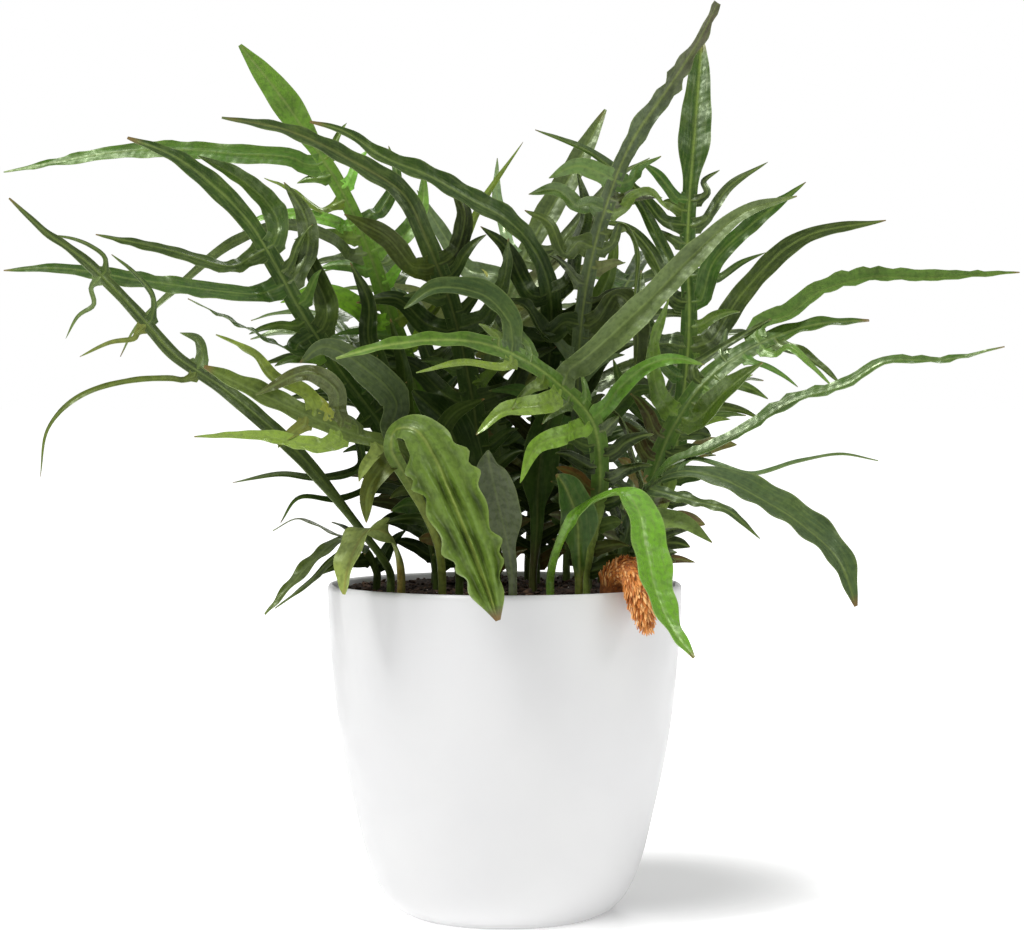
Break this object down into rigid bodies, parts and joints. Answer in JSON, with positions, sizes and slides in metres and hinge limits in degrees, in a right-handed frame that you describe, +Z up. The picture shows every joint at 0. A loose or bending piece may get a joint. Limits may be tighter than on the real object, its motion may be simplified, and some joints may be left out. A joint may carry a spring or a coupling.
{
  "type": "potted basket fern",
  "caption": "Bushy fern with arching fronds cut into long strap-like lobes, growing with a rusty scaly rhizome in a plain white round-bottomed planter.",
  "frame": {"origin": "centre of the planter's flat foot, on the surface it stands on", "axes": "+Z up along the planter's axis; the view in the picture looks along +Y, with +X to its right"},
  "size_m": [0.523, 0.3329, 0.4575],
  "materials": {
    "frond_arching_left": "satin",
    "frond_back_centre": "satin",
    "frond_back_inner_left": "satin",
    "frond_back_inner_right": "satin",
    "frond_back_left": "satin",
    "frond_back_right": "satin",
    "frond_centre_back": "satin",
    "frond_centre_left": "satin",
    "frond_front_arching": "satin",
    "frond_front_drooping": "satin",
    "frond_front_left": "satin",
    "frond_front_right_plain": "satin",
    "frond_left_inner": "satin",
    "frond_left_low": "satin",
    "frond_left_mid": "satin",
    "frond_left_rim": "satin",
    "frond_right_drooping": "satin",
    "frond_right_reach": "satin",
    "frond_right_tall": "satin",
    "frond_right_upright": "satin",
    "leaf_base_centre": "satin",
    "leaf_base_front": "satin",
    "leaf_base_inner": "satin",
    "leaf_base_left": "satin",
    "leaf_base_right": "satin",
    "pot": "satin",
    "rhizome": "matte",
    "soil": "matte"
  },
  "bodies": {
    "root": {"frond_arching_left": "frond_arching_left", "frond_back_centre": "frond_back_centre", "frond_back_inner_left": "frond_back_inner_left", "frond_back_inner_right": "frond_back_inner_right", "frond_back_left": "frond_back_left", "frond_back_right": "frond_back_right", "frond_centre_back": "frond_centre_back", "frond_centre_left": "frond_centre_left", "frond_front_arching": "frond_front_arching", "frond_front_drooping": "frond_front_drooping", "frond_front_left": "frond_front_left", "frond_front_right_plain": "frond_front_right_plain", "frond_left_inner": "frond_left_inner", "frond_left_low": "frond_left_low", "frond_left_mid": "frond_left_mid", "frond_left_rim": "frond_left_rim", "frond_right_drooping": "frond_right_drooping", "frond_right_reach": "frond_right_reach", "frond_right_tall": "frond_right_tall", "frond_right_upright": "frond_right_upright", "leaf_base_centre": "leaf_base_centre", "leaf_base_front": "leaf_base_front", "leaf_base_inner": "leaf_base_inner", "leaf_base_left": "leaf_base_left", "leaf_base_right": "leaf_base_right", "pot": "pot", "rhizome": "rhizome", "soil": "soil"}
  },
  "joints": []
}
